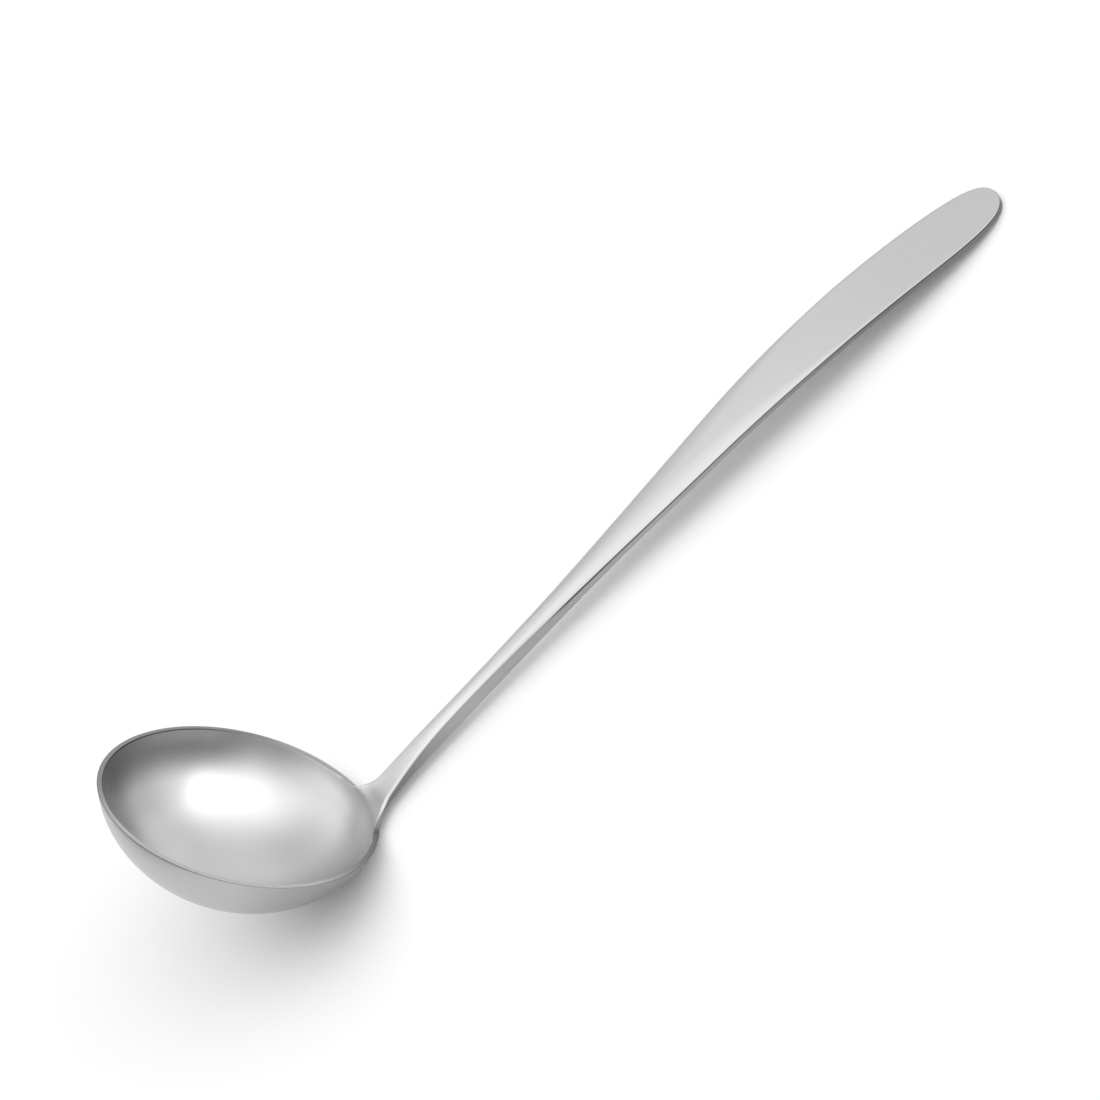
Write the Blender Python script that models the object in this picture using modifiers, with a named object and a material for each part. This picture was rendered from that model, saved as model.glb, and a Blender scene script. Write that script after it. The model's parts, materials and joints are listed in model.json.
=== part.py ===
"""Soup ladle in satin stainless steel: a pressed round bowl and a coined handle welded to its rim.

Metres, +Z up. Both pieces are modelled in the bowl's own frame, with the rim in the plane z = 0,
the bowl below it and the handle rising towards +X. An empty then lays the ladle on the table.
"""

import math

import bmesh
import bpy
import numpy as np
from mathutils import Vector
from mathutils.geometry import interpolate_bezier

LADLE_NAME = "soup_ladle"

# Bowl: a wall of even thickness, ground flat along the rim
RIM_RADIUS = 0.0450
RIM_LAND = 0.0018
RIM_EDGE_RADIUS = 0.0003
BOWL_DEPTH = 0.0300
FLOOR_THICKNESS = 0.0017
WALL_LEAN = math.radians(74.0)
WALL_REACH = 0.0190
FLOOR_REACH = 0.0196
RIM_EDGE_SEGMENTS = 2
BOWL_STEPS = 96
PROFILE_POINTS = 20

# Handle outline, seen square on: flared foot, throat, narrow neck, broad end, round tip
FOOT_WIDTH = 0.0252
THROAT_WIDTH = 0.0118
NECK_WIDTH = 0.0069
END_WIDTH = 0.0258
FLARE_LENGTH = 0.0090
TAPER_LENGTH = 0.0390
SHANK_LENGTH = 0.1810
TIP_LENGTH = 0.0480
TOE_ANGLE = math.radians(23.0)
THROAT_ANGLE = math.radians(8.0)
TIP_SHOULDER_SHARE = 0.72
TIP_NOSE_SHARE = 0.93
FLARE_POINTS = 12
TAPER_POINTS = 10
SHANK_POINTS = 26
TIP_POINTS = 22

# Handle seen from the side: its lean above the rim plane, and the bend near its end
FOOT_LEAN = math.radians(69.0)
SHANK_LEAN = math.radians(59.6)
END_LEAN = math.radians(48.0)
END_BEND_LENGTH = 0.0910
STRAIGHT_END_LENGTH = 0.0270

# Handle section: thick at the neck, crowned on both faces, thin and flat at the end
NECK_THICKNESS = 0.0053
SHANK_THICKNESS = 0.0035
END_THICKNESS = 0.0020
THICKENING_LENGTH = 0.0400
THINNING_LENGTH = 0.0850
TOP_CROWN = 0.0005
BACK_CROWN = 0.0004
CROWN_FADE_LENGTH = 0.1000
DISH_FADE_LENGTH = 0.0180
EDGE_RADIUS = 0.0005
EDGE_SEGMENTS = 3
SECTION_COLUMNS = 9

# The weld between the handle's foot and the rim keeps this root gap
WELD_ROOT_GAP = 0.0003

# Satin finish: grey of the steel and how far it scatters a reflection
BOWL_SHADE = 0.56
BOWL_ROUGHNESS = 0.30
HANDLE_SHADE = 0.58
HANDLE_ROUGHNESS = 0.28

# Mesh settings
MERGE_DISTANCE = 0.00001
CORNER_ANGLE = math.radians(40.0)
TURN_TOLERANCE = 1e-9

# Distances along the handle, from its foot
NECK_AT = FLARE_LENGTH + TAPER_LENGTH
END_AT = NECK_AT + SHANK_LENGTH
HANDLE_LENGTH = END_AT + TIP_LENGTH
STRAIGHT_END_AT = HANDLE_LENGTH - STRAIGHT_END_LENGTH

INNER_RIM_RADIUS = RIM_RADIUS - RIM_LAND


def clear_scene():
    for old in list(bpy.data.objects):
        bpy.data.objects.remove(old, do_unlink=True)


def ramp(share):
    return min(max(share, 0.0), 1.0)


def ease(share):
    """Smooth step from 0 to 1."""
    share = ramp(share)
    return share * share * (3.0 - 2.0 * share)


def steel(name, shade, roughness):
    material = bpy.data.materials.new(name)
    material.use_nodes = True
    shader = material.node_tree.nodes["Principled BSDF"]
    shader.inputs["Base Color"].default_value = (shade, shade, shade, 1.0)
    shader.inputs["Metallic"].default_value = 1.0
    shader.inputs["Roughness"].default_value = roughness
    return material


def add_part(mesh, material, collection):
    part = bpy.data.objects.new(mesh.name, mesh)
    mesh.materials.append(material)
    collection.objects.link(part)
    return part


def wall_curve(radius, depth):
    """One face of the bowl's wall, from the rim down to the axis."""
    size = radius / RIM_RADIUS
    rim = Vector((radius, 0.0, 0.0))
    floor = Vector((0.0, 0.0, -depth))
    down_wall = Vector((-math.cos(WALL_LEAN), 0.0, -math.sin(WALL_LEAN))) * WALL_REACH * size
    along_floor = Vector((FLOOR_REACH * size, 0.0, 0.0))
    return interpolate_bezier(rim, rim + down_wall, floor + along_floor, floor, PROFILE_POINTS)


def bowl_section():
    """The wall cut through the axis: up the inside, across the rim land, down the outside."""
    inside = wall_curve(INNER_RIM_RADIUS, BOWL_DEPTH - FLOOR_THICKNESS)
    outside = wall_curve(RIM_RADIUS, BOWL_DEPTH)
    points = inside[::-1] + outside
    edges = [(index, index + 1) for index in range(len(points) - 1)]
    mesh = bpy.data.meshes.new("bowl")
    mesh.from_pydata(points, edges, [])
    return mesh


def make_bowl(collection):
    finish = steel("satin_steel_bowl", BOWL_SHADE, BOWL_ROUGHNESS)
    bowl = add_part(bowl_section(), finish, collection)
    turn = bowl.modifiers.new("turn", "SCREW")
    turn.steps = BOWL_STEPS
    turn.render_steps = BOWL_STEPS
    turn.use_merge_vertices = True
    turn.merge_threshold = MERGE_DISTANCE
    rim_edges = bowl.modifiers.new("rim_edges", "BEVEL")
    rim_edges.width = RIM_EDGE_RADIUS
    rim_edges.segments = RIM_EDGE_SEGMENTS
    rim_edges.limit_method = "ANGLE"
    rim_edges.angle_limit = CORNER_ANGLE
    return bowl


def outline_run(start, start_way, end, end_way, points):
    """A stretch of the outline that leaves and arrives along the two given ways."""
    third = (end.x - start.x) / 3.0
    return interpolate_bezier(start, start + start_way * third, end - end_way * third, end, points)


def handle_outline():
    """(distance from the foot, half width) down one edge of the handle, foot to tip."""
    foot = Vector((0.0, FOOT_WIDTH / 2))
    throat = Vector((FLARE_LENGTH, THROAT_WIDTH / 2))
    neck = Vector((NECK_AT, NECK_WIDTH / 2))
    end = Vector((END_AT, END_WIDTH / 2))
    tip = Vector((HANDLE_LENGTH, 0.0))
    along = Vector((1.0, 0.0))
    off_rim = Vector((math.sin(TOE_ANGLE), -math.cos(TOE_ANGLE)))
    into_neck = Vector((math.cos(THROAT_ANGLE), -math.sin(THROAT_ANGLE)))
    shoulder = end + along * TIP_LENGTH * TIP_SHOULDER_SHARE
    nose = tip + Vector((0.0, END_WIDTH / 2 * TIP_NOSE_SHARE))
    outline = outline_run(foot, off_rim, throat, into_neck, FLARE_POINTS)
    outline += outline_run(throat, into_neck, neck, along, TAPER_POINTS)[1:]
    outline += outline_run(neck, along, end, along, SHANK_POINTS)[1:]
    # The last point has no width, so the tip closes on the point before it
    outline += interpolate_bezier(end, shoulder, nose, tip, TIP_POINTS)[1:-1]
    return [(point.x, point.y) for point in outline]


def lean_at(distance):
    """Angle of the handle above the rim plane."""
    lean = FOOT_LEAN + (SHANK_LEAN - FOOT_LEAN) * ease(distance / NECK_AT)
    bend_at = STRAIGHT_END_AT - END_BEND_LENGTH
    return lean + (END_LEAN - SHANK_LEAN) * ramp((distance - bend_at) / END_BEND_LENGTH)


def thickness_at(distance):
    """Thickness of the handle on its centre line."""
    thin_at = NECK_AT + THINNING_LENGTH
    thickness = RIM_LAND
    thickness += (NECK_THICKNESS - RIM_LAND) * ease(distance / THICKENING_LENGTH)
    thickness += (SHANK_THICKNESS - NECK_THICKNESS) * ease((distance - NECK_AT) / THINNING_LENGTH)
    thickness += (END_THICKNESS - SHANK_THICKNESS) * ease((distance - thin_at) / (END_AT - thin_at))
    return thickness


def crown_share(distance):
    """How much of the crown the section has: none at the foot, all at the neck, none at the end."""
    fade_at = STRAIGHT_END_AT - CROWN_FADE_LENGTH
    return ease(distance / NECK_AT) * (1.0 - ease((distance - fade_at) / CROWN_FADE_LENGTH))


def dish(radius, distance, offset):
    """Height of the bowl's curve across the foot, which fades out past the throat."""
    curvature = (1.0 - ease(distance / DISH_FADE_LENGTH)) / radius
    return curvature * offset**2 / (1.0 + math.sqrt(1.0 - (curvature * offset) ** 2))


def section_rows(distance, half_width):
    """(offset, height) across the handle's top face and across its back, from edge to edge."""
    crown = crown_share(distance)
    thickness = thickness_at(distance)
    top = []
    back = []
    for share in np.linspace(-1.0, 1.0, SECTION_COLUMNS):
        offset = share * half_width
        fall = crown * share**2
        top.append((offset, dish(INNER_RIM_RADIUS, distance, offset) - TOP_CROWN * fall))
        rise = dish(RIM_RADIUS, distance, offset) + BACK_CROWN * fall
        back.append((offset, rise - thickness))
    return top, back


def handle_stations():
    """For each point of the outline: its distance, half width, place and section direction."""
    place = Vector((INNER_RIM_RADIUS, 0.0, WELD_ROOT_GAP))
    before = 0.0
    for distance, half_width in handle_outline():
        middle = lean_at((before + distance) / 2.0)
        place = place + Vector((math.cos(middle), 0.0, math.sin(middle))) * (distance - before)
        before = distance
        # The foot's section lies in the rim plane and turns square to the handle along the flare
        square = ease(distance / FLARE_LENGTH)
        normal = math.pi - square * (math.pi / 2.0 - lean_at(distance))
        yield distance, half_width, place, Vector((math.cos(normal), 0.0, math.sin(normal)))


def handle_sheets(shape):
    """Rows of points over the top face and over the back, one row for each section."""
    sheets = ([], [])
    for distance, half_width, place, up in handle_stations():
        for sheet, row in zip(sheets, section_rows(distance, half_width)):
            across = [place + Vector((0.0, offset, 0.0)) + up * height for offset, height in row]
            sheet.append([shape.verts.new(point) for point in across])
    return sheets


def bridge(shape, line, other):
    """Faces between two lines of as many points."""
    for index in range(len(line) - 1):
        shape.faces.new((line[index], line[index + 1], other[index + 1], other[index]))


def handle_loft():
    """Top and back faces through all sections, closed by the two edges, the foot and the tip."""
    shape = bmesh.new()
    rounded = shape.edges.layers.float.new("bevel_weight_edge")
    sheets = handle_sheets(shape)
    for sheet in sheets:
        for row, after in zip(sheet, sheet[1:]):
            bridge(shape, row, after)
    left_edges = [[row[0] for row in sheet] for sheet in sheets]
    right_edges = [[row[-1] for row in sheet] for sheet in sheets]
    foot_edges = [sheet[0] for sheet in sheets]
    tip_edges = [sheet[-1] for sheet in sheets]
    for upper, lower in (left_edges, right_edges, foot_edges, tip_edges):
        bridge(shape, upper, lower)
    for line in left_edges + right_edges + tip_edges:
        for start, end in zip(line, line[1:]):
            shape.edges.get((start, end))[rounded] = 1.0
    bmesh.ops.recalc_face_normals(shape, faces=shape.faces)
    mesh = bpy.data.meshes.new("handle")
    shape.to_mesh(mesh)
    shape.free()
    mesh.shade_smooth()
    mesh.set_sharp_from_angle(angle=CORNER_ANGLE)
    return mesh


def make_handle(collection):
    finish = steel("satin_steel_handle", HANDLE_SHADE, HANDLE_ROUGHNESS)
    handle = add_part(handle_loft(), finish, collection)
    soft_edges = handle.modifiers.new("soft_edges", "BEVEL")
    soft_edges.width = EDGE_RADIUS
    soft_edges.segments = EDGE_SEGMENTS
    soft_edges.limit_method = "WEIGHT"
    return handle


def side_view(part):
    """(x, z) of every point of the finished part, before the ladle is laid down."""
    finished = part.evaluated_get(bpy.context.evaluated_depsgraph_get())
    mesh = finished.to_mesh()
    points = np.empty(len(mesh.vertices) * 3)
    mesh.vertices.foreach_get("co", points)
    finished.to_mesh_clear()
    return points.reshape(-1, 3)[:, [0, 2]]


def heights(view, turn):
    return view @ np.array((-math.sin(turn), math.cos(turn)))


def lay_on_table(bowl, handle, collection):
    """Turns the ladle until the bowl's wall and the handle's tip both rest on the table."""
    bowl_view = side_view(bowl)
    handle_view = side_view(handle)
    low = 0.0
    high = math.pi / 2.0
    while high - low > TURN_TOLERANCE:
        turn = (low + high) / 2.0
        if heights(bowl_view, turn).min() < heights(handle_view, turn).min():
            low = turn
        else:
            high = turn
    both = np.vstack((bowl_view, handle_view))
    lengths = both @ np.array((math.cos(turn), math.sin(turn)))
    pose = bpy.data.objects.new("lying_on_table", None)
    collection.objects.link(pose)
    pose.rotation_euler = (0.0, turn, 0.0)
    pose.location.x = -(lengths.min() + lengths.max()) / 2.0
    pose.location.z = -heights(both, turn).min()
    bowl.parent = pose
    handle.parent = pose


def main():
    clear_scene()
    collection = bpy.data.collections.new(LADLE_NAME)
    bpy.context.scene.collection.children.link(collection)
    bowl = make_bowl(collection)
    handle = make_handle(collection)
    lay_on_table(bowl, handle, collection)


main()
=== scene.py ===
import json
import math

import bmesh
import bpy
from mathutils import Matrix, Vector
from mathutils.geometry import interpolate_bezier


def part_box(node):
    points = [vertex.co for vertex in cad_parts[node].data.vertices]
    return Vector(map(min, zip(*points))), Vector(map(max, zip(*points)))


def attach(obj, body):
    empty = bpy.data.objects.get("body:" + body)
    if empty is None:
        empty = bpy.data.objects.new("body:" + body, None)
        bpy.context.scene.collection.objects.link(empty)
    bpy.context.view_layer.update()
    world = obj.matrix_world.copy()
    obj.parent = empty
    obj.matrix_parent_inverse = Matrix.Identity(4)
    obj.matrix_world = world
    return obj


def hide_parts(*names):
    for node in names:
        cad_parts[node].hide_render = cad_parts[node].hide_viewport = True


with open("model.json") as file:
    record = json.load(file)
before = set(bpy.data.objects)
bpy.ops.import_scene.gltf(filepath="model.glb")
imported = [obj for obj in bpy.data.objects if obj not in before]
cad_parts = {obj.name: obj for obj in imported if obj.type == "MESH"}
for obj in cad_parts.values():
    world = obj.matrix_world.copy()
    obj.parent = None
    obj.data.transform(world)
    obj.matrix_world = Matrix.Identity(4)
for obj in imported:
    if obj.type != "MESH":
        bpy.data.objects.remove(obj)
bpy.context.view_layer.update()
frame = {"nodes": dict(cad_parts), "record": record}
print("frame loaded:", ", ".join(sorted(frame["nodes"])))

# what the bowl and the handle share
ladle = {
    "rimRadius": 0.0450,
    "rimLand": 0.0018,  # width of the flat ground rim
    "wallLean": math.radians(74.0),  # bowl's wall at the rim, above the rim plane
    "endLean": math.radians(48.0),  # handle's flat end, above the rim plane
    "endMount": "handle_end_top",
    "smoothAngle": math.radians(35.0),
}
innerRadius = ladle["rimRadius"] - ladle["rimLand"]


# helpers

def addPiece(name, addPrimitive, **settings):
    bpy.ops.object.select_all(action="DESELECT")
    addPrimitive(location=(0.0, 0.0, 0.0), **settings)
    piece = bpy.context.object
    piece.name = name
    piece.data.name = name
    bpy.ops.object.mode_set(mode="EDIT")
    bpy.ops.mesh.select_mode(type="VERT")
    return piece


def editMesh():
    mesh = bmesh.from_edit_mesh(bpy.context.object.data)
    mesh.verts.ensure_lookup_table()
    return mesh


def pickVerts(indices):
    bpy.ops.mesh.select_all(action="DESELECT")
    mesh = editMesh()
    for index in indices:
        mesh.verts[index].select = True
    mesh.select_flush_mode()


def turnFacesOut():
    bpy.ops.mesh.select_all(action="SELECT")
    bpy.ops.mesh.normals_make_consistent(inside=False)


def markPiece(piece, name, domain, marks):  # what the mesh tells the finish
    attribute = piece.data.attributes.new(name, "FLOAT", domain)
    for index, value in marks.items():
        attribute.data[index].value = value


def smoothStep(share):
    share = min(max(share, 0.0), 1.0)
    return share * share * (3.0 - 2.0 * share)


def between(start, end, share):
    return start + (end - start) * share


# bowl: a profile extruded point by point and spun

bowl = {
    "depth": 0.0300,
    "floorThickness": 0.0017,
    "wallReach": 0.0190,  # how far the profile keeps to the wall
    "floorReach": 0.0196,  # and to the floor
    "wallPoints": 64,
    "steps": 240,
    "mergeDistance": 0.000002,
    "edgeRadius": 0.0004,
    "edgeSegments": 4,
    "weldHalfAngle": math.radians(23.4),  # the rim stays square under the handle's foot
    "edgeFadeAngle": math.radians(9.0),
}


def wallCurve(radius, depth):
    size = radius / ladle["rimRadius"]
    rim = Vector((radius, 0.0, 0.0))
    floor = Vector((0.0, 0.0, -depth))
    wallWay = Vector((-math.cos(ladle["wallLean"]), 0.0, -math.sin(ladle["wallLean"])))
    rimHandle = rim + wallWay * bowl["wallReach"] * size
    floorHandle = floor + Vector((bowl["floorReach"] * size, 0.0, 0.0))
    return interpolate_bezier(rim, rimHandle, floorHandle, floor, bowl["wallPoints"])


def freeRim(place):  # 0 under the handle's foot, 1 where the rim's edges are round
    angle = abs(math.atan2(place.y, place.x)) - bowl["weldHalfAngle"]
    return smoothStep(angle / bowl["edgeFadeAngle"])


def roundRim(piece):
    weights = piece.data.attributes.new("bevel_weight_edge", "FLOAT", "EDGE")
    for edge in piece.data.edges:
        ends = [piece.data.vertices[index].co for index in edge.vertices]
        onRim = all(end.z > -bowl["mergeDistance"] for end in ends)
        if onRim and abs(ends[0].length - ends[1].length) < bowl["mergeDistance"]:
            weights.data[edge.index].value = min(freeRim(end) for end in ends)
    bevel = piece.modifiers.new("rim", "BEVEL")
    bevel.limit_method = "WEIGHT"
    bevel.width = bowl["edgeRadius"]
    bevel.segments = bowl["edgeSegments"]
    bpy.ops.object.modifier_apply(modifier=bevel.name)


def rimMarks(mesh):  # from 0 on the walls to 1 on the flat rim
    marks = {}
    for face in mesh.polygons:
        places = [mesh.vertices[index].co for index in face.vertices]
        onRim = min(place.z for place in places) > -bowl["edgeRadius"] - bowl["mergeDistance"]
        for corner, place in zip(face.loop_indices, places):
            roundDepth = bowl["edgeRadius"] * freeRim(place) + bowl["mergeDistance"]
            marks[corner] = max(1.0 + place.z / roundDepth, 0.0) * onRim
    return marks


def insideMarks(mesh):
    return {vertex.index: float(vertex.normal.z > 0.0) for vertex in mesh.vertices}


def makeBowl():
    outside = wallCurve(ladle["rimRadius"], bowl["depth"])
    inside = wallCurve(innerRadius, bowl["depth"] - bowl["floorThickness"])
    profile = outside[::-1] + inside
    piece = addPiece("ladle_bowl", bpy.ops.mesh.primitive_plane_add, size=ladle["rimLand"])
    bpy.ops.mesh.merge(type="CENTER")  # one point to draw the profile with
    bpy.ops.transform.translate(value=profile[0])
    for point, nextPoint in zip(profile, profile[1:]):
        bpy.ops.mesh.extrude_vertices_move(TRANSFORM_OT_translate={"value": nextPoint - point})
    bpy.ops.mesh.select_all(action="SELECT")
    bpy.ops.mesh.spin(steps=bowl["steps"], angle=math.tau, center=(0.0, 0.0, 0.0), axis=(0.0, 0.0, 1.0))
    bpy.ops.mesh.select_all(action="SELECT")
    bpy.ops.mesh.remove_doubles(threshold=bowl["mergeDistance"])
    turnFacesOut()
    bpy.ops.object.mode_set(mode="OBJECT")
    roundRim(piece)
    markPiece(piece, "edgeTurn", "CORNER", rimMarks(piece.data))
    markPiece(piece, "inside", "POINT", insideMarks(piece.data))
    bpy.ops.object.shade_smooth_by_angle(angle=ladle["smoothAngle"])
    print("bowl modelled:", len(piece.data.polygons), "faces")
    return piece


# handle: half a top and half a back, shaped row by row, bridged at the side and mirrored

handle = {
    "footWidth": 0.0252,
    "throatWidth": 0.0118,
    "neckWidth": 0.0069,
    "endWidth": 0.0258,
    "flareLength": 0.0090,
    "taperLength": 0.0390,
    "shankLength": 0.1810,
    "tipLength": 0.0480,
    "toeAngle": math.radians(23.0),  # how flat the flare leaves the rim
    "throatAngle": math.radians(8.0),
    "tipShoulder": 0.72,
    "tipNose": 0.93,
    "flareRows": 32,
    "taperRows": 26,
    "shankRows": 60,
    "tipRows": 48,
    "tipFine": 4,  # rows in place of the last one
    "columns": 10,  # from the middle to the rounded edge
    "footLean": math.radians(69.0),
    "shankLean": math.radians(59.6),
    "bendLength": 0.0910,
    "straightEnd": 0.0270,
    "neckThickness": 0.0053,
    "shankThickness": 0.0035,
    "endThickness": 0.0020,
    "thickening": 0.0400,
    "thinning": 0.0850,
    "topCrown": 0.0005,
    "backCrown": 0.0004,
    "crownFade": 0.1000,
    "dishFade": 0.0180,  # past it the bowl's curve has left the section
    "weldGap": 0.0003,  # the solids' gap, filled here by the ground weld
    "weldRun": 0.00038,  # how far the weld takes the foot down to the rim
    "blendRun": 0.0120,  # along which the foot leaves the bowl's wall
    "toeReach": 0.0045,  # the weld's toes run out along the rim
    "toeStart": 0.50,  # shares of the reach: how far a toe keeps to the rim
    "toeEnd": 0.25,  # and to the flare
    "weldRows": 9,
    "edgeRadius": 0.0005,
    "endRadius": 0.0003,
    "toeRadius": 0.00003,  # the edge is nearly sharp where it runs out on the rim
    "edgeFade": 0.0060,
    "neckRoll": 0.0010,  # the top rolls over to its edges across this width
    "rollShare": 0.85,  # and along the shank across this share of its half
    "rollDepth": 0.0010,
    "rollCrown": 0.4,  # what is left of the crown there
    "rollGrowth": 0.0500,
    "rollEnd": 0.1350,
    "rollFade": 0.0850,
    "topRound": 1.6,  # 1 is round, 2 a curve with a sharp edge
    "backRound": 1.0,
    "rollShape": 3.0,
    "edgeSegments": 8,
    "paintedLineReach": 0.0012,  # how near to the edge its painted dark line begins
    "mirrorReach": 0.000001,
    "rowDigits": 5,  # tell the grid's rows apart
}
neckAt = handle["flareLength"] + handle["taperLength"]
endAt = neckAt + handle["shankLength"]
tipAt = endAt + handle["tipLength"]
straightAt = tipAt - handle["straightEnd"]


def outlineRun(start, startWay, end, endWay, points):
    third = (end.x - start.x) / 3
    return interpolate_bezier(start, start + startWay * third, end - endWay * third, end, points)


def handleOutline():  # distance from the foot and half width
    foot = Vector((0.0, handle["footWidth"] / 2))
    throat = Vector((handle["flareLength"], handle["throatWidth"] / 2))
    neck = Vector((neckAt, handle["neckWidth"] / 2))
    end = Vector((endAt, handle["endWidth"] / 2))
    tip = Vector((tipAt, 0.0))
    along = Vector((1.0, 0.0))
    offRim = Vector((math.sin(handle["toeAngle"]), -math.cos(handle["toeAngle"])))
    intoNeck = Vector((math.cos(handle["throatAngle"]), -math.sin(handle["throatAngle"])))
    shoulder = end + along * handle["tipLength"] * handle["tipShoulder"]
    nose = tip + Vector((0.0, end.y * handle["tipNose"]))
    toe = Vector((-handle["weldRun"], foot.y + handle["toeReach"]))
    alongRim = toe - Vector((0.0, handle["toeReach"] * handle["toeStart"]))
    ontoFoot = foot - offRim * handle["toeReach"] * handle["toeEnd"]
    outline = interpolate_bezier(toe, alongRim, ontoFoot, foot, handle["weldRows"])
    outline += outlineRun(foot, offRim, throat, intoNeck, handle["flareRows"])[1:]
    outline += outlineRun(throat, intoNeck, neck, along, handle["taperRows"])[1:]
    outline += outlineRun(neck, along, end, along, handle["shankRows"])[1:]
    fine = handle["tipFine"]
    points = interpolate_bezier(end, shoulder, nose, tip, handle["tipRows"] * fine)
    return outline + points[fine:-fine:fine] + points[-fine:]


def leanAt(distance):
    bendShare = (distance - straightAt) / handle["bendLength"] + 1
    bend = (ladle["endLean"] - handle["shankLean"]) * min(max(bendShare, 0.0), 1.0)
    blendShare = min(max(distance / handle["blendRun"], 0.0), 1.0)
    # the foot starts along the wall, and what lies beyond the blend isn't shifted by it
    blend = (1 - blendShare) ** 2 * (1 - 4 * blendShare)
    lean = between(handle["footLean"], handle["shankLean"], smoothStep(distance / neckAt))
    return lean + bend + blend * (ladle["wallLean"] - handle["footLean"])


def thicknessAt(distance):
    thinAt = neckAt + handle["thinning"]
    neckShare = smoothStep(distance / handle["thickening"])
    shankShare = smoothStep((distance - neckAt) / handle["thinning"])
    endShare = smoothStep((distance - thinAt) / (endAt - thinAt))
    thickness = between(ladle["rimLand"], handle["neckThickness"], neckShare)
    thickness += (handle["shankThickness"] - handle["neckThickness"]) * shankShare
    return thickness + (handle["endThickness"] - handle["shankThickness"]) * endShare


def crownAt(distance):
    fade = smoothStep((distance - straightAt) / handle["crownFade"] + 1)
    return smoothStep(distance / neckAt) * (1 - fade)


def rolledAt(distance):
    return smoothStep((distance - neckAt) / handle["rollGrowth"])


def fadedEdge(size, distance):  # nearly sharp on the rim, small at the flat end
    fade = smoothStep((distance - handle["rollEnd"]) / handle["rollFade"])
    grown = smoothStep(distance / handle["edgeFade"])
    return between(handle["toeRadius"], between(size, handle["endRadius"], fade), grown)


def topEdge(distance, halfWidth):  # how wide and how deep the top rolls over
    rolled = rolledAt(distance)
    roll = between(handle["neckRoll"], halfWidth * handle["rollShare"], rolled)
    depth = between(handle["edgeRadius"], handle["rollDepth"], rolled)
    return fadedEdge(roll, distance), fadedEdge(depth, distance)


def backEdge(distance):
    radius = fadedEdge(handle["edgeRadius"], distance)
    return radius, radius


def dishAt(distance, halfWidth, radius):  # how far the bowl's curve lifts the sides
    curvature = (1 - smoothStep(distance / handle["dishFade"])) / radius
    return curvature * halfWidth**2 / (1 + math.sqrt(1 - (curvature * halfWidth) ** 2))


def edgeWays(outline):  # how the outline is turned at each of its points
    spans = zip(outline[:1] + outline, outline[1:] + outline[-1:])
    return [math.atan2(after.y - before.y, after.x - before.x) for before, after in spans]


def handleSections():  # foot to tip
    outline = handleOutline()
    before = 0.0
    place = Vector((innerRadius, 0.0, handle["weldGap"]))
    for (distance, halfWidth), edgeWay in zip(outline[:-1], edgeWays(outline)):
        lean = leanAt((before + distance) / 2)
        place = place + Vector((math.cos(lean), 0.0, math.sin(lean))) * (distance - before)
        before = distance
        square = smoothStep(distance / handle["flareLength"])  # the foot lies in the rim plane
        crown = crownAt(distance)
        topCrown = handle["topCrown"] * crown * between(1.0, handle["rollCrown"], rolledAt(distance))
        yield {
            "place": place,
            "turn": between(math.pi / 2, leanAt(distance), square),
            "halfWidth": halfWidth,
            "edgeWay": edgeWay,
            "topEdge": topEdge(distance, halfWidth),
            "backEdge": backEdge(distance),
            "topRise": dishAt(distance, halfWidth, innerRadius) - topCrown,
            "backRise": dishAt(distance, halfWidth, ladle["rimRadius"]) + handle["backCrown"] * crown,
            "thickness": thicknessAt(distance),
            "line": rolledAt(distance),  # how dark the painted line along the edge is
        }


def gridRows():  # of the picked grid: each row's place and points, from the middle outwards
    rows = {}
    for vertex in editMesh().verts:
        if vertex.select:
            x = round(vertex.co.x, handle["rowDigits"])
            rows.setdefault(x, []).append((vertex.co.y, vertex.index))
    return [(Vector((x, 0.0, 0.0)), sorted(rows[x])) for x in sorted(rows)]


def edgeAngles():  # closer together towards the side
    for segment in range(1, handle["edgeSegments"] + 1):
        tilt = math.pi / 2 * segment / handle["edgeSegments"]
        yield math.atan2(handle["rollShape"] * math.sin(tilt), math.cos(tilt))


def unitColumns(side, power):  # an even hollow, then a quarter turn that ends in the origin
    for column in range(handle["columns"] + 1):
        share = column / handle["columns"]
        yield Vector((0.0, share, share**2))
    for angle in edgeAngles():
        yield Vector((0.0, math.sin(angle) - 1, max(math.cos(angle), 0.0) ** power * side))


def shapeColumns(rows, side, power):
    for column, target in enumerate(unitColumns(side, power)):
        pickVerts(row[column][1] for start, row in rows)
        bpy.ops.transform.translate(value=target - Vector((0.0, rows[0][1][column][0], 0.0)))


def edgeMarks(section, face, side, edge):  # how far each point is turned to the side, and its painted dark line
    roll, depth = section[face + "Edge"]
    power = handle[face + "Round"]
    marks = {}
    paintedLines = {}
    for index, angle in zip(edge, edgeAngles()):
        flatness = max(math.cos(angle), 0.0) ** (2 - power)
        tilt = math.atan2(depth * power * math.sin(angle), roll * flatness)
        marks[index] = tilt / (math.pi / 2)
        nearness = 1 - roll * (1 - math.sin(angle)) / handle["paintedLineReach"]
        paintedLines[index] = max(nearness, 0.0) * section["line"] * (1 + side) / 2
    return marks, paintedLines


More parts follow.
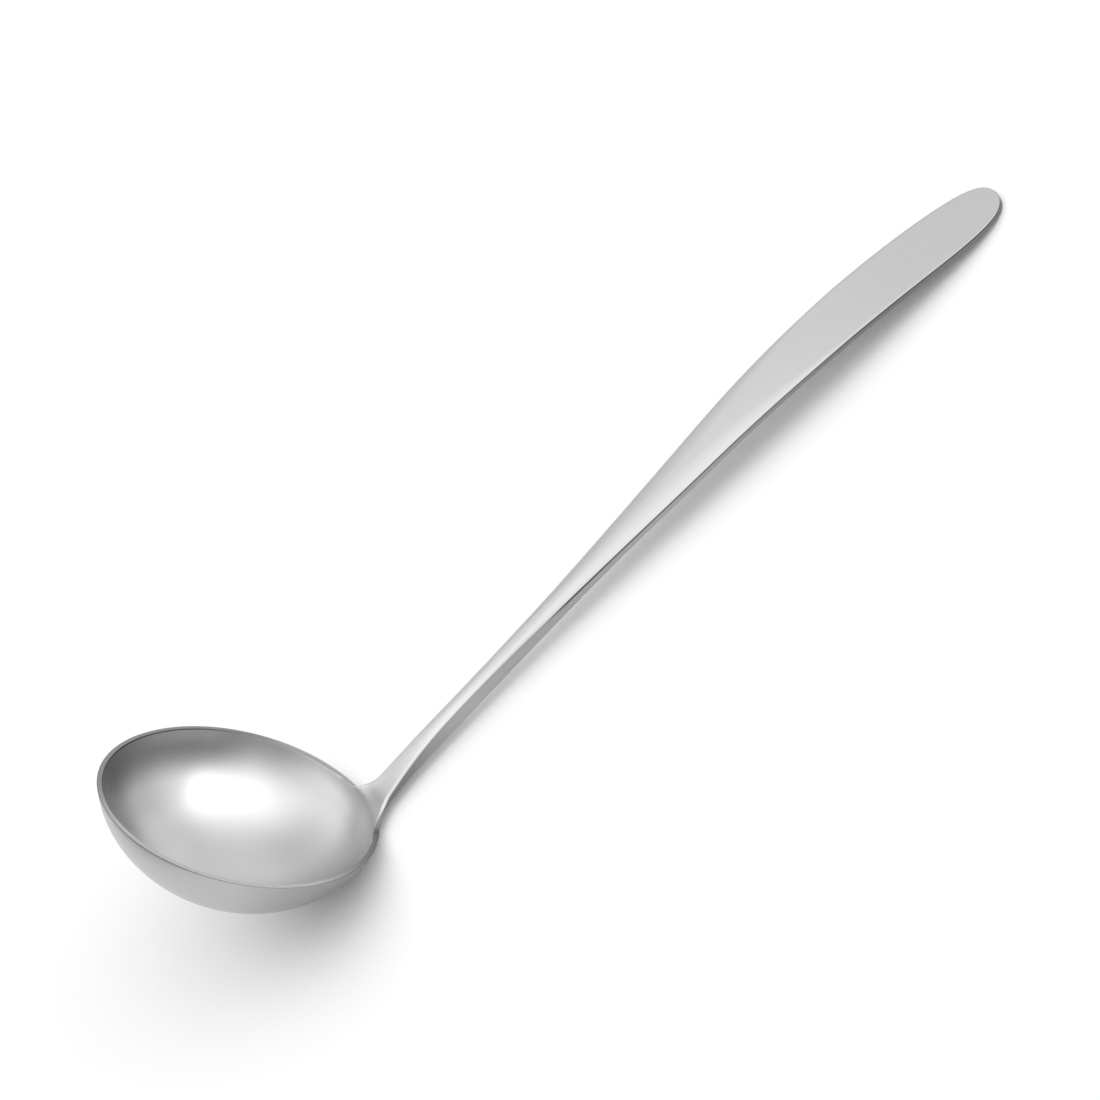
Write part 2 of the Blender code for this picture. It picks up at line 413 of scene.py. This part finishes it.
def shapeHalf(sections, face, side):  # side: 1 for the top, -1 for the back
    rows = gridRows()
    shapeColumns(rows, side, handle[face + "Round"])
    marks = {}
    paintedLines = {}
    for (start, row), section in zip(rows, sections):
        points = [index for y, index in row]
        edge = points[handle["columns"] + 1:]
        roll, depth = section[face + "Edge"]
        edgeWay = section["edgeWay"]
        innerWidth = section["halfWidth"] - roll * math.cos(edgeWay)
        innerRise = section[face + "Rise"] * (innerWidth / section["halfWidth"]) ** 2
        pickVerts(edge)
        bpy.ops.transform.resize(value=(1.0, roll, depth), center_override=start)
        bpy.ops.transform.rotate(value=-edgeWay, orient_axis="Z", center_override=start)
        bpy.ops.transform.translate(value=(0.0, section["halfWidth"], innerRise - depth * side))
        pickVerts(points[:handle["columns"] + 1])
        bpy.ops.transform.resize(value=(1.0, innerWidth, innerRise), center_override=start)
        bpy.ops.transform.translate(value=(roll * math.sin(edgeWay), 0.0, 0.0))
        pickVerts(points)
        turn = section["turn"]
        drop = section["thickness"] * (1 - side) / 2
        bpy.ops.transform.rotate(value=turn, orient_axis="Y", center_override=start)
        downWay = Vector((math.sin(turn), 0.0, -math.cos(turn)))
        bpy.ops.transform.translate(value=section["place"] + downWay * drop - start)
        rowMarks, rowPaintedLines = edgeMarks(section, face, side, edge)
        marks |= rowMarks
        paintedLines |= rowPaintedLines
    marks |= {index: 1.0 for index in points}  # the end of the tip is side
    return marks, paintedLines


def bridgeHalves():
    bpy.ops.mesh.select_mode(type="EDGE")
    bpy.ops.mesh.select_all(action="DESELECT")
    bpy.ops.mesh.select_non_manifold(use_wire=False, use_multi_face=False, use_non_contiguous=False)
    mesh = editMesh()
    for edge in mesh.edges:
        if all(abs(vertex.co.y) < handle["mirrorReach"] for vertex in edge.verts):
            edge.select = False
    mesh.select_flush_mode()
    bpy.ops.mesh.bridge_edge_loops()


def makeHandle():
    sections = list(handleSections())
    columns = handle["columns"] + handle["edgeSegments"]
    grid = {"x_subdivisions": len(sections) - 1, "y_subdivisions": columns, "size": 1.0}
    piece = addPiece("ladle_handle", bpy.ops.mesh.primitive_grid_add, **grid)
    topMarks, topPaintedLines = shapeHalf(sections, "top", 1)
    bpy.ops.mesh.primitive_grid_add(location=(0.0, 0.0, 0.0), **grid)
    backMarks, backPaintedLines = shapeHalf(sections, "back", -1)
    bridgeHalves()
    bpy.ops.object.mode_set(mode="OBJECT")
    markPiece(piece, "edgeTurn", "POINT", topMarks | backMarks)
    markPiece(piece, "paintedEdgeLine", "POINT", topPaintedLines | backPaintedLines)
    mirror = piece.modifiers.new("mirror", "MIRROR")
    mirror.use_axis = (False, True, False)
    mirror.merge_threshold = handle["mirrorReach"]
    bpy.ops.object.modifier_apply(modifier=mirror.name)
    bpy.ops.object.mode_set(mode="EDIT")
    turnFacesOut()
    bpy.ops.object.mode_set(mode="OBJECT")
    bpy.ops.object.shade_smooth_by_angle(angle=ladle["smoothAngle"])
    print("handle modelled:", len(piece.data.polygons), "faces")
    return piece


# seat: the ladle is turned as the solids' flat end says, and set down where their bowl lies

def lowCorner(piece):
    return Vector(min(vertex.co[axis] for vertex in piece.data.vertices) for axis in range(3))


def applyPlace(piece):
    bpy.ops.object.select_all(action="DESELECT")
    piece.select_set(True)
    bpy.context.view_layer.objects.active = piece
    bpy.ops.object.transform_apply(location=True, rotation=True, scale=True)


def layOnTable(bowlPiece, handlePiece):
    mounts = {mount["name"]: mount for mount in frame["record"]["mounts"]}
    axis = mounts[ladle["endMount"]]["axis"]
    turn = ladle["endLean"] + math.atan2(axis[0], axis[2])
    for piece in (bowlPiece, handlePiece):
        piece.rotation_euler.y = turn
        applyPlace(piece)
    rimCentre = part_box("bowl")[0] - lowCorner(bowlPiece)
    rimCentre.y = 0.0
    for piece in (bowlPiece, handlePiece):
        piece.location = rimCentre
        applyPlace(piece)
    print("laid on the table: turn", round(math.degrees(turn), 3), "rim centre", rimCentre)
    return turn, rimCentre


bowlPiece = makeBowl()
handlePiece = makeHandle()
turn, rimCentre = layOnTable(bowlPiece, handlePiece)


# finishes, with painted light and shade in them

noiseMiddle = 0.5


class Wire:
    def __init__(self, tree, socket=None):
        self.tree = tree
        self.socket = socket

    def node(self, kind, settings, inputs, output=0):
        made = self.tree.nodes.new(kind)
        for name, value in settings.items():
            setattr(made, name, value)
        for name, value in inputs.items():
            self.feed(made.inputs[name], value)
        return Wire(self.tree, made.outputs[output])

    def noise(self, inputs, dimensions="3D"):  # spread about 0
        return self.node("ShaderNodeTexNoise", {"noise_dimensions": dimensions}, inputs) - noiseMiddle

    def mark(self, name):  # what markPiece stored
        return self.node("ShaderNodeAttribute", {"attribute_name": name}, {}, "Fac")

    def cosine(self, way, otherWay):
        inputs = {0: way, 1: otherWay}
        return self.node("ShaderNodeVectorMath", {"operation": "DOT_PRODUCT"}, inputs, "Value")

    def ramp(self, value, start, end):  # from 0 to 1, smooth at both ends
        inputs = {"Value": value, "From Min": start, "From Max": end}
        return self.node("ShaderNodeMapRange", {"interpolation_type": "SMOOTHSTEP"}, inputs)

    def feed(self, socket, value):
        if isinstance(value, Wire):
            self.tree.links.new(value.socket, socket)
        else:
            socket.default_value = value

    def maths(self, operation, first, second):
        return self.node("ShaderNodeMath", {"operation": operation}, {0: first, 1: second})

    def __add__(self, other):
        return self.maths("ADD", self, other)

    def __radd__(self, other):
        return self.maths("ADD", other, self)

    def __sub__(self, other):
        return self.maths("SUBTRACT", self, other)

    def __rsub__(self, other):
        return self.maths("SUBTRACT", other, self)

    def __mul__(self, other):
        return self.maths("MULTIPLY", self, other)

    def __rmul__(self, other):
        return self.maths("MULTIPLY", other, self)


def startSteel(name):
    material = bpy.data.materials.new(name)
    material.use_nodes = True
    shader = material.node_tree.nodes["Principled BSDF"]
    shader.inputs["Metallic"].default_value = 1.0
    return material, shader, Wire(material.node_tree)


def endSteel(wire, shader, shade, roughness, height, heightSize):
    colour = wire.node("ShaderNodeCombineColor", {}, {"Red": shade, "Green": shade, "Blue": shade})
    bump = wire.node("ShaderNodeBump", {}, {"Height": height, "Distance": heightSize})
    wire.feed(shader.inputs["Base Color"], colour)
    wire.feed(shader.inputs["Roughness"], roughness)
    wire.feed(shader.inputs["Normal"], bump)


# zones lie towards a way, in degrees from the handle, and from one radius to another
bowlFinish = {
    "shade": 0.52,
    "roughness": 0.31,
    "paintedDarkWall": {"towards": 117.0, "full": 20.0, "none": 54.0, "from": 0.0345, "to": 0.0412},  # painted shade: a darker band under the rim on one side
    "paintedDarkWallShade": -0.32,
    "paintedDarkWallEnd": 0.0412,  # and less so towards the rim
    "paintedDarkWallLess": 0.30,
    "paintedDarkBand": {"towards": 146.0, "full": 14.0, "none": 34.0, "from": 0.0225, "to": 0.0330},  # more painted shade below it
    "paintedDarkBandShade": -0.13,
    "floor": {"from": 0.0260, "to": 0.0160},  # painted light: the floor is painted a little brighter
    "paintedFloorLight": 0.035,
    # a painted highlight also lies on a band between it and the painted dark wall
    "paintedHighlightBand": {"towards": 118.0, "full": 12.0, "none": 42.0, "from": 0.0200, "to": 0.0290},
    "paintedHighlightBandEnd": 0.0330,
    "paintedHighlightBandShade": 0.07,
    # painted highlight: the wall is painted bright at the weld
    "paintedLightAtWeld": {"towards": -4.0, "full": 28.0, "none": 62.0, "from": 0.0395, "to": 0.0425},
    "paintedLightAtWeldShade": 0.14,
    "paintedOuterShade": -0.05,  # painted shade: the outside is painted darker, most of all on one side
    "paintedDarkSide": {"towards": -62.0, "full": 8.0, "none": 45.0, "from": 0.0100, "to": 0.0340},
    "paintedDarkSideShade": -0.09,
    "rimPaintedShade": -0.26,  # painted shade: the ground rim is painted darker along its outline
    "rimPaintedEdgeLines": -0.96,  # painted dark lines, darkest halfway round its edges, where a quarter of this counts
    "paintedLightFront": {"towards": -115.0, "full": 35.0, "none": 80.0},  # painted light: brighter along one side
    "paintedLightFrontShade": 0.20,
    "paintedDarkNearToe": {"towards": -35.0, "full": 12.0, "none": 40.0},  # painted shade: dark at the near end of the weld
    "paintedDarkNearToeShade": -0.05,
    "paintedLightFarToe": {"towards": 32.0, "full": 12.0, "none": 36.0},  # painted light: and bright at the far end
    "paintedLightFarToeShade": 0.12,
    "rimRoughness": 0.14,
    "speck": {"Scale": 1900.0, "Detail": 2.0},
    "speckShade": 0.008,
    "speckRoughness": 0.02,
    "ring": {"Scale": 2.5, "Detail": 2.0},
    "ringCount": 900.0,  # to a metre of the profile
    "ringShade": 0.015,
    "ringRoughness": 0.03,
    "mottle": {"Scale": 60.0, "Detail": 3.0},
    "mottleShade": 0.02,
    "height": 0.000001,  # of the rings
}


def sideOf(wire, around, zone):  # by the way it faces
    towards = math.radians(zone["towards"])
    facing = wire.cosine(around, (math.cos(towards), math.sin(towards), 0.0))
    return wire.ramp(facing, math.cos(math.radians(zone["none"])), math.cos(math.radians(zone["full"])))


def ringOf(wire, across, zone):  # by the radius
    return wire.ramp(across, zone["from"], zone["to"])


def wallZone(wire, around, across, zone):
    return sideOf(wire, around, zone) * ringOf(wire, across, zone)


# painted light and shade inside the bowl
def insideShade(wire, around, across, wall):
    paintedDarkWall = wallZone(wire, around, across, bowlFinish["paintedDarkWall"]) * wall
    paintedDarkWall = paintedDarkWall - paintedDarkWall * wire.ramp(across, bowlFinish["paintedDarkWallEnd"], innerRadius) * bowlFinish["paintedDarkWallLess"]
    paintedDarkBand = wallZone(wire, around, across, bowlFinish["paintedDarkBand"]) * wall * (1.0 - paintedDarkWall)
    paintedHighlightBand = wallZone(wire, around, across, bowlFinish["paintedHighlightBand"]) * wall
    paintedHighlightBand = paintedHighlightBand - paintedHighlightBand * wire.ramp(across, bowlFinish["paintedHighlightBandEnd"], bowlFinish["paintedDarkWallEnd"])
    paintedBrighterFloor = ringOf(wire, across, bowlFinish["floor"]) * wall
    paintedLightAtWeld = wallZone(wire, around, across, bowlFinish["paintedLightAtWeld"]) * wall
    shade = paintedDarkWall * bowlFinish["paintedDarkWallShade"] + paintedDarkBand * bowlFinish["paintedDarkBandShade"]
    shade = shade + paintedHighlightBand * bowlFinish["paintedHighlightBandShade"] + paintedBrighterFloor * bowlFinish["paintedFloorLight"]
    return shade + paintedLightAtWeld * bowlFinish["paintedLightAtWeldShade"]


# painted shade on the outside
def outsideShade(wire, around, across):
    paintedDarkSide = wallZone(wire, around, across, bowlFinish["paintedDarkSide"])
    return bowlFinish["paintedOuterShade"] + paintedDarkSide * bowlFinish["paintedDarkSideShade"]


# painted shade and light on the ground rim
def rimPaintedShade(wire, around, edge):
    shade = bowlFinish["rimPaintedShade"] + (1.0 - edge) * bowlFinish["rimPaintedEdgeLines"]
    for zone in ("paintedLightFront", "paintedDarkNearToe", "paintedLightFarToe"):
        shade = shade + sideOf(wire, around, bowlFinish[zone]) * bowlFinish[zone + "Shade"]
    return shade * edge


def bowlSteel():
    material, shader, wire = startSteel("satin_bowl")
    place = wire.node("ShaderNodeTexCoord", {}, {}, "Object")
    seat = {"Vector": place, "Location": rimCentre, "Rotation": (0.0, turn, 0.0)}
    place = wire.node("ShaderNodeMapping", {"vector_type": "TEXTURE"}, seat)
    flat = wire.node("ShaderNodeVectorMath", {"operation": "MULTIPLY"}, {0: place, 1: (1.0, 1.0, 0.0)})
    across = wire.node("ShaderNodeVectorMath", {"operation": "LENGTH"}, {0: flat}, "Value")
    around = wire.node("ShaderNodeVectorMath", {"operation": "NORMALIZE"}, {0: flat})
    height = wire.node("ShaderNodeSeparateXYZ", {}, {0: place}, "Z")
    run = (across + height) * bowlFinish["ringCount"]
    rings = wire.noise({"Vector": around, "W": run} | bowlFinish["ring"], "4D")
    speck = wire.noise({"Vector": place} | bowlFinish["speck"])
    mottle = wire.noise({"Vector": place} | bowlFinish["mottle"])
    inside = wire.mark("inside")
    edge = wire.mark("edgeTurn")
    shade = bowlFinish["shade"] + speck * bowlFinish["speckShade"] + rings * bowlFinish["ringShade"]
    shade = shade + mottle * bowlFinish["mottleShade"]
    shade = shade + insideShade(wire, around, across, inside * (1.0 - edge))
    shade = shade + outsideShade(wire, around, across) * (1.0 - inside) * (1.0 - edge)
    shade = shade + rimPaintedShade(wire, around, edge)
    roughness = bowlFinish["roughness"] + edge * bowlFinish["rimRoughness"]
    roughness = roughness + speck * bowlFinish["speckRoughness"] + rings * bowlFinish["ringRoughness"]
    endSteel(wire, shader, shade, roughness, rings, bowlFinish["height"])
    return material


# zones lie from one place along the ladle to another
handleFinish = {
    "shade": 0.54,
    "roughness": 0.28,
    "paintedSideShade": -0.17,  # painted shade: the blanked sides are painted darker than the faces
    "sideRoughness": 0.10,
    "foot": {"from": -0.060, "to": -0.102},  # painted shade, darker towards the weld
    "paintedFootShade": -0.26,
    "toe": {"from": -0.1045, "to": -0.1088},  # and painted darkest on the weld's toes
    "paintedToeShade": -0.06,
    "far": {"from": 0.004, "to": 0.012},  # but the far toe, by its y, is painted as bright as the rim beside it
    "paintedFarToeLight": 0.18,
    "tip": {"from": 0.020, "to": 0.120},  # and painted darker towards the tip
    "paintedTipShade": -0.17,
    "line": {"from": 0.74, "to": 0.96},  # a painted dark line runs along the turn to the side
    "paintedLineShade": -0.36,
    "paintedLineAtTip": 0.45,  # what is left of it at the tip
    "paintedLightAtWeld": {"from": -0.030, "to": -0.100},  # painted light: the face is painted bright from the neck to the weld
    "paintedLightAtWeldShade": 0.08,
    "grainStretch": (30.0, 1600.0, 1600.0),  # brushed along the handle
    "grain": {"Scale": 1.0, "Detail": 3.0},
    "grainShade": 0.01,
    "grainRoughness": 0.03,
    "speck": {"Scale": 1900.0, "Detail": 2.0},
    "speckShade": 0.02,
    "mottle": {"Scale": 60.0, "Detail": 3.0},
    "mottleShade": 0.02,
    "mottleRoughness": 0.04,
    "height": 0.0000004,  # of the grain
}


def handleZone(wire, value, name):
    return wire.ramp(value, handleFinish[name]["from"], handleFinish[name]["to"])


# painted shade on the handle's sides
def paintedSideShade(wire, along, across, tip):
    foot = handleZone(wire, along, "foot")
    toe = handleZone(wire, along, "toe")
    far = handleZone(wire, across, "far")
    paintedToeShade = handleFinish["paintedToeShade"] + far * handleFinish["paintedFarToeLight"]
    shade = handleFinish["paintedSideShade"] + foot * handleFinish["paintedFootShade"]
    return shade + toe * paintedToeShade + tip * handleFinish["paintedTipShade"]


def handleSteel():
    material, shader, wire = startSteel("satin_handle")
    place = wire.node("ShaderNodeTexCoord", {}, {}, "Object")
    along = wire.node("ShaderNodeSeparateXYZ", {}, {0: place}, "X")
    across = wire.node("ShaderNodeSeparateXYZ", {}, {0: place}, "Y")
    brushed = wire.node("ShaderNodeMapping", {}, {"Vector": place, "Scale": handleFinish["grainStretch"]})
    grain = wire.noise({"Vector": brushed} | handleFinish["grain"])
    speck = wire.noise({"Vector": place} | handleFinish["speck"])
    mottle = wire.noise({"Vector": place} | handleFinish["mottle"])
    edge = wire.mark("edgeTurn")
    side = edge * edge
    tip = handleZone(wire, along, "tip")
    line = handleZone(wire, wire.mark("paintedEdgeLine"), "line") * (1.0 - tip * (1.0 - handleFinish["paintedLineAtTip"]))
    shade = handleFinish["shade"] + grain * handleFinish["grainShade"]
    shade = shade + speck * handleFinish["speckShade"] + mottle * handleFinish["mottleShade"]
    shade = shade + handleZone(wire, along, "paintedLightAtWeld") * handleFinish["paintedLightAtWeldShade"]
    shade = shade + side * paintedSideShade(wire, along, across, tip) + line * handleFinish["paintedLineShade"]
    roughness = handleFinish["roughness"] + grain * handleFinish["grainRoughness"]
    roughness = roughness + mottle * handleFinish["mottleRoughness"]
    roughness = roughness + side * handleFinish["sideRoughness"]
    endSteel(wire, shader, shade, roughness, grain, handleFinish["height"])
    return material


def dress(piece, material, node):
    piece.data.materials.clear()
    piece.data.materials.append(material)
    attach(piece, "root")
    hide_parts(node)


dress(bowlPiece, bowlSteel(), "bowl")
dress(handlePiece, handleSteel(), "handle")
print("finishes done")


# studio: pale table, soft light all round and the camera

table = {"size": 6.0, "shade": 0.90}


def makeTable():
    bpy.ops.object.select_all(action="DESELECT")
    bpy.ops.mesh.primitive_plane_add(size=table["size"], location=(0.0, 0.0, 0.0))
    piece = bpy.context.object
    piece.name = "table"
    material = bpy.data.materials.new("pale_table")
    material.use_nodes = True
    shader = material.node_tree.nodes["Principled BSDF"]
    shader.inputs["Base Color"].default_value = (table["shade"], table["shade"], table["shade"], 1.0)
    shader.inputs["Roughness"].default_value = 1.0
    shader.inputs["Specular IOR Level"].default_value = 0.0
    piece.data.materials.append(material)


surround = {"level": 0.38}
glows = {  # broad soft lights, by where they stand, how tight they are and how bright
    "side": {"azimuth": -26.5, "elevation": 13.0, "tightness": 9.0, "strength": 2.35},
    "left": {"azimuth": -45.0, "elevation": 45.0, "tightness": 11.0, "strength": 1.21},
    "right": {"azimuth": -5.0, "elevation": 55.0, "tightness": 13.0, "strength": 0.79},
    "top": {"azimuth": -100.0, "elevation": 84.0, "tightness": 10.0, "strength": 0.98},
    "back": {"azimuth": 110.0, "elevation": 47.0, "tightness": 13.0, "strength": 0.40},
    "high": {"azimuth": 106.0, "elevation": 60.0, "tightness": 13.0, "strength": 0.42},
    "behind": {"azimuth": 104.0, "elevation": 6.0, "tightness": 12.0, "strength": 0.20},
    "under": {"azimuth": 112.0, "elevation": 38.0, "tightness": 14.0, "strength": 0.12},
    "fill": {"azimuth": 45.0, "elevation": 12.0, "tightness": 5.5, "strength": 0.62},
    "low": {"azimuth": 75.0, "elevation": 25.0, "tightness": 6.0, "strength": 0.22},
    "corner": {"azimuth": 130.0, "elevation": 40.0, "tightness": 14.0, "strength": 0.20},
    "far": {"azimuth": 150.0, "elevation": 58.0, "tightness": 12.0, "strength": 0.45},
}


def makeSurround():
    world = bpy.data.worlds.new("studio")
    bpy.context.scene.world = world
    world.use_nodes = True
    wire = Wire(world.node_tree)
    way = wire.node("ShaderNodeTexCoord", {}, {}, "Generated")
    light = surround["level"]
    for glow in glows.values():
        turned = Matrix.Rotation(math.radians(glow["azimuth"]), 3, "Z")
        raised = Matrix.Rotation(-math.radians(glow["elevation"]), 3, "Y")
        aside = wire.cosine(way, turned @ raised @ Vector((1.0, 0.0, 0.0))) - 1.0
        spread = wire.node("ShaderNodeMath", {"operation": "EXPONENT"}, {0: aside * glow["tightness"]})
        light = light + spread * glow["strength"]
    wire.feed(world.node_tree.nodes["Background"].inputs["Color"], light)


view = {
    "lens": 137.45,
    "sensorWidth": 36.0,
    "aim": (-0.00676, -0.00353, 0.02711),
    "azimuth": math.radians(12.086),
    "elevation": math.radians(35.186),
    "roll": math.radians(51.797),
    "distance": 1.29391,
}


def makeCamera():
    data = bpy.data.cameras.new("camera")
    data.lens = view["lens"]
    data.sensor_width = view["sensorWidth"]
    camera = bpy.data.objects.new("camera", data)
    bpy.context.scene.collection.objects.link(camera)
    turned = Matrix.Rotation(view["azimuth"], 4, "Z")
    facing = turned @ Matrix.Rotation(math.pi / 2 - view["elevation"], 4, "X")
    eye = Vector(view["aim"]) + facing @ Vector((0.0, 0.0, view["distance"]))
    rolled = Matrix.Rotation(-view["roll"], 4, "Z")
    camera.matrix_world = Matrix.Translation(eye) @ facing @ rolled
    bpy.context.scene.camera = camera


makeTable()
makeSurround()
makeCamera()
bpy.context.scene.view_settings.view_transform = "Standard"
print("studio done")
